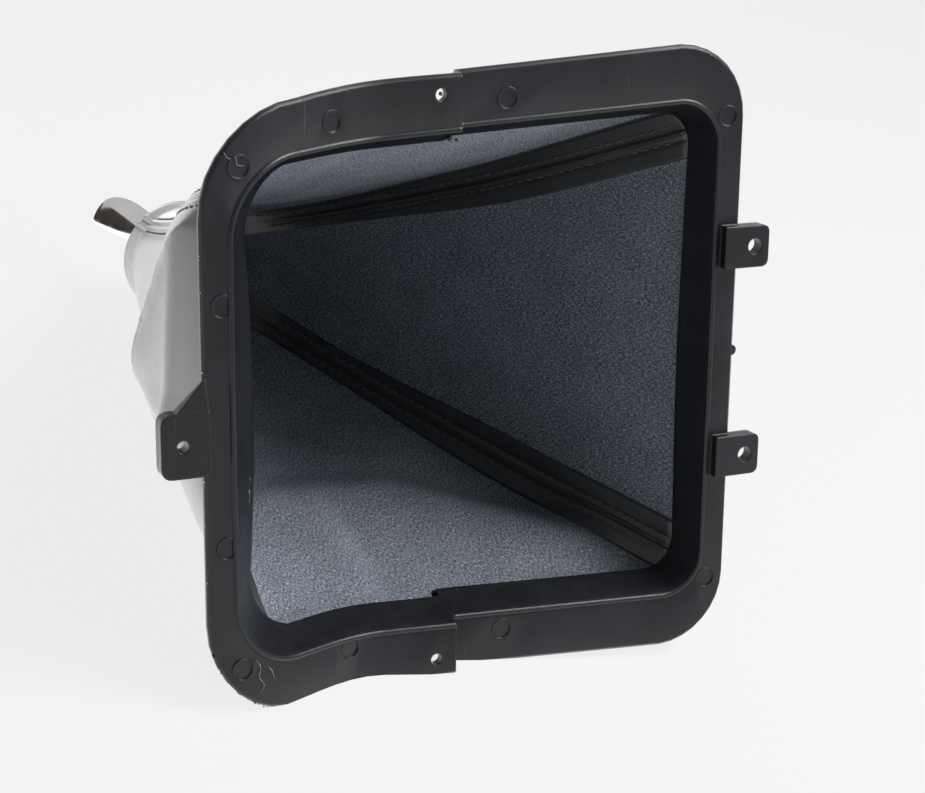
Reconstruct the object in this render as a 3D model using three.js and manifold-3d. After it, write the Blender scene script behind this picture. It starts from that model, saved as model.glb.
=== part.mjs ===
import * as THREE from 'three';
import { mergeVertices } from 'three/addons/utils/BufferGeometryUtils.js';
import Module from 'manifold-3d';

// Gear lever gaiter: a moulded frame, a sleeve of four sewn panels and a plated collar.
// Lengths are in millimetres. X runs along the frame from its single-tab end to its two-tab end,
// Z runs up the sleeve, and everything is drawn level with the flange and tipped at the end.

// Frame outline, measured at the outer edge of the flange
const narrowEndX = -64.5;
const wideEndX = 78;
const outerHalfWidth = 71.8;
const outerFlare = 0.066;
const outerTaper = 0.02;
const outerTaperCurve = 0.0013;
const narrowCornerRadius = 24;
const wideCornerRadius = 17.5;

// Inner lip of the flange
const lipNarrowX = -56.9;
const lipWideX = 70.55;
const lipHalfWidth = 58.3;
const lipFlare = 0.052;

// Flange and inner wall section
const flangeThickness = 2.5;
const flangeEdgeRound = 0.7;
const lipRound = 1.3;
const wallHeight = 10;
const wallThickness = 2.0;
const wallFoot = 2.6;
const wallFootRound = 0.9;
const wallLean = 2.9;
const narrowWallLean = 7.7;
const wallKneeHeight = 3.4;
const wallKneeShare = 0.16;

// Step across both long rails, and the dip of the single-tab end
const stepX = 1.2;
const stepRun = 1.0;
const stepDrop = 5.2;
const dipStartX = -17;
const dipEndX = -61;
const dipDrop = 14.1;

// Tabs
const wideTabRootX = 73;
const wideTabOffset = 26.6;
const wideTabHalfWidth = 5.2;
const wideTabTipX = 85.2;
const wideTabDrop = 2.4;
const wideTabThickness = 3.6;
const wideTabTipRound = 2;
const wideTabHole = 3.9;
const wideTabHoleX = 81.3;
const narrowTabY = 1.9;
const narrowTabHalfWidth = 7.1;
const narrowTabTipX = -74.8;
const narrowTabRootX = -63.9;
const narrowTabDrop = 3.1;
const narrowTabThickness = 3.9;
const narrowTabTipRound = 2.6;
const narrowTabHole = 2.7;
const narrowTabHoleX = -70;
const gussetReach = 7.2;
const gussetTipInset = 0.6;
const gussetRise = 3.0;
const gussetOverlap = 0.4;

// Small features of the moulding
const nubRadius = 1.4;
const nubInset = 0.2;
const nubTopGap = 0.2;
const screwHole = 2.9;
const screwHoleX = -3.9;
const screwHoleInset = 4.4;
const markDiameter = 5;
const markDepth = 0.3;
const markRim = 0.25;
const markRimShare = 0.4;

// Leather sleeve
const leatherThickness = 1.3;
const sewnGap = 0.3;
const glueGap = 0.3;
const wallGap = 0.5;
const hemReach = 4.8;
const hemLift = 0.9;
const hemLead = 7;
const hemStepRun = 9;
const hemBendReach = 3.84;
const hemBendHeight = 6;
const neckX = -16;
const neckZ = 160;
const neckRadius = 17.2;
const neckBand = 9;
const allowanceWidth = 7;
const allowanceThickness = 1.2;
const allowanceEdge = 0.5;
const allowanceMiddle = 3.85;
const allowanceTopShare = 0.9;
const seamRoundWidth = 1.1;
const seamRoundDepth = 0.45;
const hemFoldHeight = 5;
const hemFoldThickness = 1.1;
const narrowBulge = 14;
const lowSideBulge = 3.5;
const highSideSag = 4.6;
const wideSag = 2.5;
const highSideLean = 0.6;
const highSideFade = 1.25;
const lowSideFade = 5;
const wideFade = 2;
const lowFade = 2.5;

// Plated collar
const collarWall = 1.6;
const collarSkirtDepth = 11;
const collarLip = 1.2;
const collarLipHeight = 1.4;
const crownHeight = 4.5;
const tongueHeight = 23;
const crownFlare = 5.4;
const tongueAngle = 206;
const tongueSteepSide = 7;
const tongueSoftSide = 30;
const tongueSteepPower = 8;
const tongueSoftPower = 3;
const tongueMargin = 2;
const crownRoot = 0.2;
const crownCurve = 1.25;
const crownInnerDrop = 0.1;
const lipSwell = 0.3;

// Fineness of the round work
const cornerSteps = 8;
const markSteps = 16;
const tongueSteps = 28;
const collarGapSteps = 22;
const crownSteps = 4;
const panelColumns = 11;

// Smooth rise from nought to one
const ease = (u) => {
  const c = Math.min(1, Math.max(0, u));
  return c * c * (3 - 2 * c);
};

// Height of the flange's underside along the frame
const undersideZ = (x) => {
  const step = Math.min(1, Math.max(0, (stepX + stepRun - x) / stepRun));
  return -stepDrop * step - dipDrop * ease((dipStartX - x) / (dipStartX - dipEndX));
};

// The leather bridges the step: its hem climbs ahead of it
const hemZ = (x) => -stepDrop * ease((stepX - hemLead - x) / hemStepRun)
  - dipDrop * ease((dipStartX - x) / (dipStartX - dipEndX));

const outerY = (x) => (x > 0
  ? outerHalfWidth + outerFlare * x
  : outerHalfWidth + outerTaper * x - outerTaperCurve * x * x);
const lipY = (x) => lipHalfWidth + lipFlare * x;

// Stations around the frame. Each holds a point on the lip, one on the outer edge and the
// share of the single-tab end in it.
const narrowCornerX = narrowEndX + narrowCornerRadius;
const wideCornerX = wideEndX - wideCornerRadius;

const longRailXs = (fine) => {
  const xs = [];
  const dipSteps = 9 * fine;
  const flatSteps = 4 * fine;
  for (let i = 0; i < dipSteps; i++) {
    xs.push(narrowCornerX + (stepX - narrowCornerX) * i / dipSteps);
  }
  xs.push(stepX);
  for (let i = 0; i <= flatSteps; i++) {
    xs.push(stepX + stepRun + (wideCornerX - stepX - stepRun) * i / flatSteps);
  }
  return xs;
};

const frameStations = (fine) => {
  const stations = [];
  const corner = (cornerX, endX, lipEndX, sideSign, from, to) => {
    const radius = Math.abs(endX - cornerX);
    const lipRadius = Math.abs(lipEndX - cornerX);
    const centreY = sideSign * (outerY(cornerX) - radius);
    const lipCentreY = sideSign * (lipY(cornerX) - lipRadius);
    const steps = cornerSteps * fine;
    for (let i = 1; i < steps; i++) {
      const a = THREE.MathUtils.degToRad(from + (to - from) * i / steps);
      const endShare = Math.abs(Math.cos(a));
      stations.push({
        outer: [cornerX + radius * Math.cos(a), centreY + radius * Math.sin(a)],
        lip: [cornerX + lipRadius * Math.cos(a), lipCentreY + lipRadius * Math.sin(a)],
        narrow: endX < 0 ? endShare : 0,
      });
    }
  };
  const endRail = (cornerX, endX, lipEndX, sign) => {
    const outerReach = outerY(cornerX) - Math.abs(endX - cornerX);
    const lipReach = lipY(cornerX) - Math.abs(lipEndX - cornerX);
    const steps = 6 * fine;
    for (let i = 0; i <= steps; i++) {
      const share = sign * (2 * i / steps - 1);
      stations.push({
        outer: [endX, share * outerReach],
        lip: [lipEndX, share * lipReach],
        narrow: endX < 0 ? 1 : 0,
      });
    }
  };
  const longRail = (sign) => {
    const xs = longRailXs(fine);
    if (sign > 0) xs.reverse();
    for (const x of xs) {
      stations.push({ outer: [x, sign * outerY(x)], lip: [x, sign * lipY(x)], narrow: 0 });
    }
  };
  endRail(wideCornerX, wideEndX, lipWideX, 1);
  corner(wideCornerX, wideEndX, lipWideX, 1, 0, 90);
  longRail(1);
  corner(narrowCornerX, narrowEndX, lipNarrowX, 1, 90, 180);
  endRail(narrowCornerX, narrowEndX, lipNarrowX, -1);
  corner(narrowCornerX, narrowEndX, lipNarrowX, -1, 180, 270);
  longRail(-1);
  corner(wideCornerX, wideEndX, lipWideX, -1, 270, 360);
  return stations;
};

// Point at a distance outward from the lip and a height above the underside
const sectionPoint = (station, outward, height, baseZ = undersideZ) => {
  const dx = station.outer[0] - station.lip[0];
  const dy = station.outer[1] - station.lip[1];
  const width = Math.hypot(dx, dy);
  const x = station.lip[0] + dx * outward / width;
  const y = station.lip[1] + dy * outward / width;
  return [x, y, baseZ(x) + height];
};

const stationWidth = (station) => Math.hypot(
  station.outer[0] - station.lip[0],
  station.outer[1] - station.lip[1],
);
const stationLean = (station) => wallLean + (narrowWallLean - wallLean) * station.narrow;

// Closed body from rows of points that run around a ring, joined end to end
const ringBody = (rows) => {
  const count = rows.length;
  const across = rows[0].length;
  const positions = rows.flat(2);
  const index = [];
  for (let i = 0; i < count; i++) {
    const next = (i + 1) % count;
    for (let j = 0; j < across; j++) {
      const over = (j + 1) % across;
      const a = i * across + j;
      const b = next * across + j;
      const c = next * across + over;
      const d = i * across + over;
      index.push(a, b, c, a, c, d);
    }
  }
  const geometry = new THREE.BufferGeometry();
  geometry.setAttribute('position', new THREE.Float32BufferAttribute(positions, 3));
  geometry.setIndex(index);
  return geometry;
};

// Closed body between an outer and an inner grid of points, with its rim closed
const sheetBody = (outerGrid, innerGrid) => {
  const rows = outerGrid.length;
  const across = outerGrid[0].length;
  const positions = [...outerGrid.flat(2), ...innerGrid.flat(2)];
  const half = rows * across;
  const index = [];
  const quad = (a, b, c, d) => index.push(a, b, c, a, c, d);
  for (let i = 0; i < rows - 1; i++) {
    for (let j = 0; j < across - 1; j++) {
      const a = i * across + j;
      quad(a, a + 1, a + across + 1, a + across);
      quad(half + a, half + a + across, half + a + across + 1, half + a + 1);
    }
  }
  for (let j = 0; j < across - 1; j++) {
    const top = (rows - 1) * across + j;
    quad(j, half + j, half + j + 1, j + 1);
    quad(top, top + 1, half + top + 1, half + top);
  }
  for (let i = 0; i < rows - 1; i++) {
    const left = i * across;
    const right = left + across - 1;
    quad(left, left + across, half + left + across, half + left);
    quad(right, half + right, half + right + across, right + across);
  }
  const geometry = new THREE.BufferGeometry();
  geometry.setAttribute('position', new THREE.Float32BufferAttribute(positions, 3));
  geometry.setIndex(index);
  return geometry;
};

const wasm = await Module();
wasm.setup();

const solidOf = (geometry) => {
  geometry.deleteAttribute('normal');
  geometry.deleteAttribute('uv');
  const merged = mergeVertices(geometry, 1e-5);
  return new wasm.Manifold(new wasm.Mesh({
    numProp: 3,
    vertProperties: merged.attributes.position.array,
    triVerts: new Uint32Array(merged.index.array),
  }));
};

const geometryOf = (solid) => {
  const mesh = solid.getMesh();
  const positions = [];
  for (let i = 0; i < mesh.vertProperties.length; i += mesh.numProp) {
    positions.push(mesh.vertProperties[i], mesh.vertProperties[i + 1], mesh.vertProperties[i + 2]);
  }
  const geometry = new THREE.BufferGeometry();
  geometry.setAttribute('position', new THREE.Float32BufferAttribute(positions, 3));
  geometry.setIndex(Array.from(mesh.triVerts));
  return geometry;
};

// Moulded frame: the section carried around the stations
const frameSection = (station) => {
  const width = stationWidth(station);
  const lean = stationLean(station);
  const knee = lean * wallKneeShare;
  return [
    [lipRound, 0],
    [width - flangeEdgeRound, 0],
    [width, flangeEdgeRound],
    [width, flangeThickness - flangeEdgeRound],
    [width - flangeEdgeRound, flangeThickness],
    [wallFoot + wallFootRound, flangeThickness],
    [wallFoot, flangeThickness + wallFootRound],
    [wallThickness - lean, wallHeight],
    [-lean, wallHeight],
    [-knee, wallKneeHeight],
    [0, lipRound],
    [lipRound * 0.3, lipRound * 0.3],
  ].map(([outward, height]) => sectionPoint(station, outward, height));
};

let frameSolid = solidOf(ringBody(frameStations(1).map(frameSection)));

// A plate drawn by its outline and pushed up by its thickness, with an upright round hole
const plate = (outline, underZ, thickness) => {
  const geometry = new THREE.ExtrudeGeometry(outline, {
    depth: thickness, bevelEnabled: false, curveSegments: 5,
  });
  geometry.translate(0, 0, underZ);
  return solidOf(geometry);
};

const pin = (x, y, diameter, fromZ, toZ, steps) => {
  const geometry = new THREE.CylinderGeometry(diameter / 2, diameter / 2, toZ - fromZ, steps);
  geometry.rotateX(Math.PI / 2);
  geometry.translate(x, y, (fromZ + toZ) / 2);
  return solidOf(geometry);
};

const tabOutline = (rootX, tipX, centreY, halfWidth, round) => {
  const out = Math.sign(tipX - rootX);
  const shape = new THREE.Shape();
  shape.moveTo(rootX, centreY - halfWidth);
  shape.lineTo(tipX - out * round, centreY - halfWidth);
  shape.quadraticCurveTo(tipX, centreY - halfWidth, tipX, centreY - halfWidth + round);
  shape.lineTo(tipX, centreY + halfWidth - round);
  shape.quadraticCurveTo(tipX, centreY + halfWidth, tipX - out * round, centreY + halfWidth);
  shape.lineTo(rootX, centreY + halfWidth);
  shape.closePath();
  return shape;
};

for (const side of [-1, 1]) {
  const outline = tabOutline(
    wideTabRootX, wideTabTipX, side * wideTabOffset, wideTabHalfWidth, wideTabTipRound,
  );
  frameSolid = frameSolid.add(plate(outline, -wideTabDrop, wideTabThickness));
  frameSolid = frameSolid.subtract(pin(
    wideTabHoleX, side * wideTabOffset, wideTabHole, -wideTabDrop - 1, flangeThickness + 1, 20,
  ));
}

const narrowUnderZ = undersideZ(narrowEndX);
const narrowTabUnderZ = narrowUnderZ - narrowTabDrop;
const narrowTabTopZ = narrowTabUnderZ + narrowTabThickness;
frameSolid = frameSolid.add(plate(
  tabOutline(narrowTabRootX, narrowTabTipX, narrowTabY, narrowTabHalfWidth, narrowTabTipRound),
  narrowTabUnderZ,
  narrowTabThickness,
));

// Three-cornered web between the single tab and the flange
const gussetNearY = narrowTabY - narrowTabHalfWidth + gussetOverlap;
const gussetTipX = narrowTabTipX + narrowTabTipRound + gussetTipInset;
const gussetPlan = [
  [gussetTipX, gussetNearY, narrowTabUnderZ],
  [narrowTabRootX, gussetNearY, narrowTabUnderZ],
  [narrowTabRootX, gussetNearY - gussetReach, narrowTabUnderZ + gussetRise],
];
const gusset = new THREE.BufferGeometry();
gusset.setAttribute('position', new THREE.Float32BufferAttribute([
  ...gussetPlan.flat(),
  ...gussetPlan.map(([x, y]) => [x, y, narrowTabTopZ - gussetOverlap]).flat(),
], 3));
gusset.setIndex([0, 1, 2, 3, 5, 4, 0, 3, 4, 0, 4, 1, 1, 4, 5, 1, 5, 2, 2, 5, 3, 2, 3, 0]);
frameSolid = frameSolid.add(solidOf(gusset));
frameSolid = frameSolid.subtract(pin(
  narrowTabHoleX, narrowTabY, narrowTabHole, narrowTabUnderZ - 1, narrowTabTopZ + 1, 14,
));

// Small round nub on the two-tab end
frameSolid = frameSolid.add(pin(
  wideEndX - nubInset, 0, 2 * nubRadius, flangeEdgeRound, flangeThickness - nubTopGap, 12,
));

// Screw holes in the two pads beside the step
for (const side of [-1, 1]) {
  frameSolid = frameSolid.subtract(pin(
    screwHoleX, side * (outerY(screwHoleX) - screwHoleInset), screwHole,
    undersideZ(screwHoleX) - 1, undersideZ(screwHoleX) + flangeThickness + 1, 16,
  ));
}

// Round marks sunk in the underside, square to it
const markPlaces = [
  [-31.2, -63], [-26.7, 60.2], [-55.5, -56.1], [-56.6, 55.9], [-59.8, -26.9], [-59.6, 27],
  [14.8, -65.2], [15.6, 64.4], [73.3, -58.5], [72.8, 59.2],
];
for (const [x, y] of markPlaces) {
  const lift = 0.5;
  const slope = Math.atan2(undersideZ(x + lift) - undersideZ(x - lift), 2 * lift);
  const mark = new THREE.LatheGeometry([
    new THREE.Vector2(0, -markDiameter),
    new THREE.Vector2(markDiameter / 2, -markDiameter),
    new THREE.Vector2(markDiameter / 2, markDepth * markRimShare),
    new THREE.Vector2(markDiameter / 2 - markRim, markDepth),
    new THREE.Vector2(0, markDepth),
  ], markSteps);
  mark.rotateX(Math.PI / 2);
  mark.rotateY(-slope);
  mark.translate(x, y, undersideZ(x));
  frameSolid = frameSolid.subtract(solidOf(mark));
}

// Sleeve: the lower edge follows the wall of the frame, the upper edge the collar
const sleeveStations = frameStations(2);
const legs = sleeveStations.length;
const seamStations = [1, 3, 5, 7].map((eighth) => {
  const angle = eighth * 45;
  const wanted = [
    angle < 90 || angle > 270 ? wideCornerX : narrowCornerX,
    angle < 180 ? 1 : -1,
  ];
  let best = 0;
  let nearest = Infinity;
  sleeveStations.forEach((station, k) => {
    const cornerY = wanted[1] * (lipY(wanted[0]) - Math.abs(lipNarrowX - narrowCornerX));
    const a = THREE.MathUtils.radToDeg(Math.atan2(
      station.lip[1] - cornerY,
      station.lip[0] - wanted[0],
    ));
    const off = Math.abs(((a - angle) % 360 + 540) % 360 - 180);
    const beyond = (station.lip[0] - wanted[0]) * Math.sign(wanted[0]);
    if (beyond > 0 && station.lip[1] * wanted[1] > 0 && off < nearest) {
      nearest = off;
      best = k;
    }
  });
  return best;
});

// Angle of every station on the round neck, even between the four seams
const neckAngles = new Array(legs).fill(0);
seamStations.forEach((start, q) => {
  const end = seamStations[(q + 1) % 4];
  const span = (end - start + legs) % legs;
  const lengths = [0];
  for (let i = 1; i <= span; i++) {
    const a = sleeveStations[(start + i - 1) % legs].lip;
    const b = sleeveStations[(start + i) % legs].lip;
    lengths.push(lengths[i - 1] + Math.hypot(b[0] - a[0], b[1] - a[1]));
  }
  for (let i = 0; i < span; i++) {
    neckAngles[(start + i) % legs] = 45 + 90 * q + 90 * lengths[i] / lengths[span];
  }
});

// How far the narrow face stands out, as shares of the bulge over shares of the height
const narrowProfile = new THREE.CubicInterpolant(
  [0, 0.06, 0.12, 0.21, 0.31, 0.4, 0.59, 0.68, 0.81, 1],
  [0, 0.4, 0.68, 0.93, 1, 0.91, 0.5, 0.32, 0.2, 0],
  1,
);

// Middle surface of the leather at a station and a height step. Steps below nought follow the
// wall, nought to one is the free sleeve, and above one is the band held by the collar.
const middleRadius = neckRadius - leatherThickness / 2;
const wallSide = [
  [hemReach, flangeThickness + hemLift],
  [hemBendReach, hemBendHeight],
];
const middlePoint = (k, level) => {
  const station = sleeveStations[(k + legs) % legs];
  const angle = THREE.MathUtils.degToRad(neckAngles[(k + legs) % legs]);
  const neck = [
    neckX + middleRadius * Math.cos(angle),
    middleRadius * Math.sin(angle),
    neckZ - neckBand,
  ];
  const wallTopLean = stationLean(station);
  const wallSlope = Math.atan2(
    wallTopLean + wallFoot - wallThickness,
    wallHeight - flangeThickness - wallFootRound,
  );
  const top = sectionPoint(
    station,
    wallThickness - wallTopLean + (leatherThickness / 2 + wallGap) / Math.cos(wallSlope),
    wallHeight + glueGap,
    hemZ,
  );
  if (level < 0) {
    const [reach, height] = level <= -2 ? wallSide[0] : wallSide[1];
    const outward = reach - (wallTopLean - wallLean) * (height - flangeThickness) / wallHeight;
    return sectionPoint(station, outward, height, hemZ);
  }
  if (level > 1) return [neck[0], neck[1], neck[2] + neckBand * (level - 1)];
  const v = level;
  const point = [0, 1, 2].map((axis) => top[axis] + (neck[axis] - top[axis]) * v);
  const cosine = Math.cos(angle);
  const sine = Math.sin(angle);
  const narrowFace = Math.pow(Math.max(0, -cosine), sine < 0 ? highSideFade : lowSideFade);
  const wideFace = Math.pow(Math.max(0, cosine), wideFade);
  const lowSide = Math.pow(Math.max(0, sine), lowFade);
  const highSide = Math.max(0, -sine);
  const leaned = Math.pow(v, 1 - highSideLean * highSide);
  point[0] -= narrowBulge * narrowFace * narrowProfile.evaluate(leaned)[0];
  point[0] -= wideSag * wideFace * Math.sin(Math.PI * v);
  point[1] += (lowSideBulge * lowSide + highSideSag * highSide) * Math.sin(Math.PI * v);
  return point;
};

const levels = [-2, -1, 0, 0.03, 0.07, 0.12, 0.18, 0.25, 0.32, 0.39, 0.46, 0.53, 0.6,
  0.67, 0.74, 0.81, 0.87, 0.93, 1, 1.5, 2];

const subtract = (a, b) => [a[0] - b[0], a[1] - b[1], a[2] - b[2]];
const cross = (a, b) => [
  a[1] * b[2] - a[2] * b[1],
  a[2] * b[0] - a[0] * b[2],
  a[0] * b[1] - a[1] * b[0],
];
const unit = (a) => {
  const size = Math.hypot(...a);
  return a.map((value) => value / size);
};
const along = (a, b, distance) => a.map((value, axis) => value + b[axis] * distance);

// Outward direction of the leather at every station and level
const middleGrid = levels.map((level) => sleeveStations.map((_, k) => middlePoint(k, level)));
const outwardGrid = levels.map((_, row) => sleeveStations.map((__, k) => {
  const around = subtract(middleGrid[row][(k + 1) % legs], middleGrid[row][(k - 1 + legs) % legs]);
  const lower = Math.max(0, row - 1);
  const upper = Math.min(levels.length - 1, row + 1);
  const up = subtract(middleGrid[upper][k], middleGrid[lower][k]);
  return unit(cross(around, up));
}));

const panel = (quarter) => {
  const start = seamStations[quarter];
  const end = seamStations[(quarter + 1) % 4];
  const span = (end - start + legs) % legs;
  const outerGrid = [];
  const innerGrid = [];
  levels.forEach((level, row) => {
    const line = [];
    const facing = [];
    const lengths = [0];
    for (let i = 0; i <= span; i++) {
      line.push(middleGrid[row][(start + i) % legs]);
      facing.push(outwardGrid[row][(start + i) % legs]);
      if (i > 0) lengths.push(lengths[i - 1] + Math.hypot(...subtract(line[i], line[i - 1])));
    }
    const total = lengths[span];
    const at = (distance) => {
      let i = 1;
      while (i < span && lengths[i] < distance) i++;
      const share = (distance - lengths[i - 1]) / (lengths[i] - lengths[i - 1]);
      return [
        line[i - 1].map((value, axis) => value + (line[i][axis] - value) * share),
        unit(facing[i - 1].map((value, axis) => value + (facing[i][axis] - value) * share)),
      ];
    };
    const edge = sewnGap / 2;
    const near = [edge, edge + seamRoundWidth, allowanceMiddle,
      allowanceWidth, allowanceWidth + allowanceEdge];
    const free = total - 2 * (allowanceWidth + allowanceEdge);
    const middle = [];
    for (let i = 1; i <= panelColumns; i++) {
      const even = i / (panelColumns + 1);
      const share = (even + (1 - Math.cos(Math.PI * even)) / 2) / 2;
      middle.push(allowanceWidth + allowanceEdge + free * share);
    }
    const distances = [...near, ...middle, ...near.map((value) => total - value).reverse()];
    const outerRow = [];
    const innerRow = [];
    distances.forEach((distance, column) => {
      const [point, out] = at(distance);
      const fromEdge = Math.min(column, distances.length - 1 - column);
      const rounding = fromEdge === 0 ? seamRoundDepth : 0;
      const folded = fromEdge <= 3 ? allowanceThickness : 0;
      const hem = level * neckZ < hemFoldHeight ? hemFoldThickness : 0;
      const held = level > 0 && level <= allowanceTopShare ? Math.max(folded, hem) : 0;
      outerRow.push(along(point, out, leatherThickness / 2 - rounding));
      innerRow.push(along(point, out, -leatherThickness / 2 - held));
    });
    outerGrid.push(outerRow);
    innerGrid.push(innerRow);
  });
  return sheetBody(outerGrid, innerGrid);
};

// Plated collar: a skirt inside the leather, a lip over its edge and a crown with two tongues
const skirtRadius = neckRadius - leatherThickness - glueGap;
const tongueShare = (turned) => {
  const side = turned < 0 ? -turned / tongueSteepSide : turned / tongueSoftSide;
  const power = turned < 0 ? tongueSteepPower : tongueSoftPower;
  return Math.sqrt(1 - Math.pow(Math.min(1, side), power));
};
const tongueFrom = -tongueSteepSide - tongueMargin;
const tongueTo = tongueSoftSide + tongueMargin;
const turns = [];
for (let i = 0; i < tongueSteps; i++) {
  turns.push(tongueFrom + (tongueTo - tongueFrom) * i / tongueSteps);
}
for (let i = 0; i < collarGapSteps; i++) {
  turns.push(tongueTo + (180 + tongueFrom - tongueTo) * i / collarGapSteps);
}
const collarRows = [];
for (let i = 0; i < 2 * turns.length; i++) {
  const turned = turns[i % turns.length];
  const degrees = tongueAngle + turned + (i < turns.length ? 0 : 180);
  const angle = THREE.MathUtils.degToRad(degrees);
  const rise = crownHeight + (tongueHeight - crownHeight) * tongueShare(turned);
  const base = neckZ + glueGap;
  const profile = [
    [skirtRadius - collarWall, neckZ - collarSkirtDepth],
    [skirtRadius, neckZ - collarSkirtDepth],
    [skirtRadius, base],
    [neckRadius + collarLip, base],
    [neckRadius + collarLip + lipSwell, base + collarLipHeight / 2],
    [neckRadius + collarLip, base + collarLipHeight],
  ];
  const crownRadius = (height) => neckRadius + crownRoot
    + crownFlare * Math.pow(height / tongueHeight, crownCurve);
  for (let j = 0; j <= crownSteps; j++) {
    const height = collarLipHeight + (rise - collarLipHeight) * j / crownSteps;
    profile.push([crownRadius(height), base + height]);
  }
  for (let j = crownSteps; j >= 0; j--) {
    const height = collarLipHeight + (rise - collarLipHeight) * j / crownSteps;
    profile.push([crownRadius(height) - collarWall, base + height - crownInnerDrop]);
  }
  collarRows.push(profile.map(([radius, z]) => [
    neckX + radius * Math.cos(angle), radius * Math.sin(angle), z,
  ]));
}

// Materials
const plastic = new THREE.MeshStandardMaterial({ color: 0x1d1f21, roughness: 0.5, metalness: 0 });
const leather = new THREE.MeshStandardMaterial({ color: 0x1b1c1f, roughness: 0.45, metalness: 0 });
const plating = new THREE.MeshStandardMaterial({ color: 0xd9dadd, roughness: 0.08, metalness: 1 });

// Tip the whole part so that both ends of the underside stand on one level
const restTilt = Math.atan2(
  -wideTabDrop - narrowTabUnderZ,
  wideTabTipX - narrowTabRootX,
);
const gaiter = new THREE.Group();
gaiter.name = 'gear_lever_gaiter';
const pieces = [
  ['gaiter_frame', geometryOf(frameSolid), plastic],
  ['sleeve_panel_left', panel(0), leather],
  ['sleeve_panel_single_tab_end', panel(1), leather],
  ['sleeve_panel_right', panel(2), leather],
  ['sleeve_panel_two_tab_end', panel(3), leather],
  ['neck_collar', ringBody(collarRows), plating],
];
for (const [, geometry] of pieces) geometry.rotateY(restTilt);

const bounds = new THREE.Box3();
for (const [, geometry] of pieces) {
  geometry.computeBoundingBox();
  bounds.union(geometry.boundingBox);
}
const middle = bounds.getCenter(new THREE.Vector3());
for (const [name, geometry, material] of pieces) {
  geometry.translate(-middle.x, -middle.y, -bounds.min.z);
  geometry.computeVertexNormals();
  const mesh = new THREE.Mesh(geometry, material);
  mesh.name = name;
  gaiter.add(mesh);
}

export default gaiter;
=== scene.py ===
import math
import random

import bpy
import numpy as np
from mathutils import Matrix, Vector


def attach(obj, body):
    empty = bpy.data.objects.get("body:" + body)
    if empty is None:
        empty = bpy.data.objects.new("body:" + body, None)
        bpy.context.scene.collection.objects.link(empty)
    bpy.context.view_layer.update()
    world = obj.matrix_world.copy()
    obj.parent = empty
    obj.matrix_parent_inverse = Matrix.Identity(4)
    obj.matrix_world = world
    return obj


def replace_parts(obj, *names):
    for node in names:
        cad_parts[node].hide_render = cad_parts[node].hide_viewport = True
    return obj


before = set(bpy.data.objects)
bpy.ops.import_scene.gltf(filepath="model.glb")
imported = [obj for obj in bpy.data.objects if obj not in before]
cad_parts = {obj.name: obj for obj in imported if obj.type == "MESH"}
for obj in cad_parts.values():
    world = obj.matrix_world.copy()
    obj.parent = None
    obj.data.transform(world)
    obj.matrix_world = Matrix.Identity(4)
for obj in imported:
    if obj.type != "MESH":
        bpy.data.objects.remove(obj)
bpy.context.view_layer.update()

mm = 0.001
chance = random.Random(7)
print("frame loaded")

# The gaiter is worked out level with its flange, in millimetres: x along the frame towards
# the two tabs, z up the sleeve. Then it is tipped and set down on its tabs like the frame.
standing = {"tilt": 7.639946, "shift": (-3.7446, 0.0, 13.7058)}
tip = Matrix.Rotation(math.radians(standing["tilt"]), 3, "Y")
tipRows = np.array([list(row) for row in tip])


def toRow(points):
    return (np.asarray(points, float) @ tipRows.T + np.array(standing["shift"])) * mm


def toRowDirection(direction):
    return (tip @ Vector(direction)).normalized()


# Frame outline, flange, wall, step and dip, in millimetres
rail = {
    "narrowEndX": -64.5, "wideEndX": 78.0,
    "outerHalfWidth": 71.8, "outerFlare": 0.066, "outerTaper": 0.02, "outerTaperCurve": 0.0013,
    "narrowCornerRadius": 24.0, "wideCornerRadius": 17.5,
    "lipNarrowX": -56.9, "lipWideX": 70.55, "lipHalfWidth": 58.3, "lipFlare": 0.052,
    "flangeThickness": 2.5, "wallHeight": 10.0, "wallThickness": 2.0,
    "wallFoot": 2.6, "wallFootRound": 0.9, "wallLean": 2.9, "narrowWallLean": 7.7,
    "stepX": 1.2, "stepRun": 1.0, "stepDrop": 5.2,
    "dipStartX": -17.0, "dipEndX": -61.0, "dipDrop": 14.1,
}
narrowCornerX = rail["narrowEndX"] + rail["narrowCornerRadius"]
wideCornerX = rail["wideEndX"] - rail["wideCornerRadius"]

# Sleeve of four leather panels, in millimetres
sleeve = {
    "thickness": 1.3, "glueGap": 0.3, "wallGap": 0.5,
    "hemReach": 4.8, "hemLift": 0.9, "hemBendReach": 3.84, "hemBendHeight": 6.0,
    "hemLead": 7.0, "hemStepRun": 9.0,
    "neckX": -16.0, "neckZ": 160.0, "neckRadius": 17.2, "neckBand": 9.0,
    "neckPuff": 0.9, "puffToward": 150.0, "neckPinch": 0.9, "pinchToward": 275.0,
    "allowance": 7.0, "allowanceThickness": 1.2, "allowanceFade": 0.8, "allowanceTop": 0.965,
    "narrowAllowance": 4.2, "narrowingFrom": 0.3, "narrowingRun": 0.45,
    "narrowBulge": 14.0, "lowSideBulge": 3.5, "highSideSag": 4.6, "wideSag": 2.5,
    "highSideLean": 0.6, "highSideFade": 1.25, "lowSideFade": 5.0,
    "wideFade": 2.0, "lowFade": 2.5,
    "bulgeHeights": (0, 0.06, 0.12, 0.21, 0.31, 0.4, 0.59, 0.68, 0.81, 1),
    "bulgeShares": (0, 0.4, 0.68, 0.93, 1, 0.91, 0.5, 0.32, 0.2, 0),
}


def ease(u):
    c = np.clip(u, 0, 1)
    return c * c * (3 - 2 * c)


def dip(x):
    return -rail["dipDrop"] * ease((rail["dipStartX"] - x) / (rail["dipStartX"] - rail["dipEndX"]))


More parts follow.
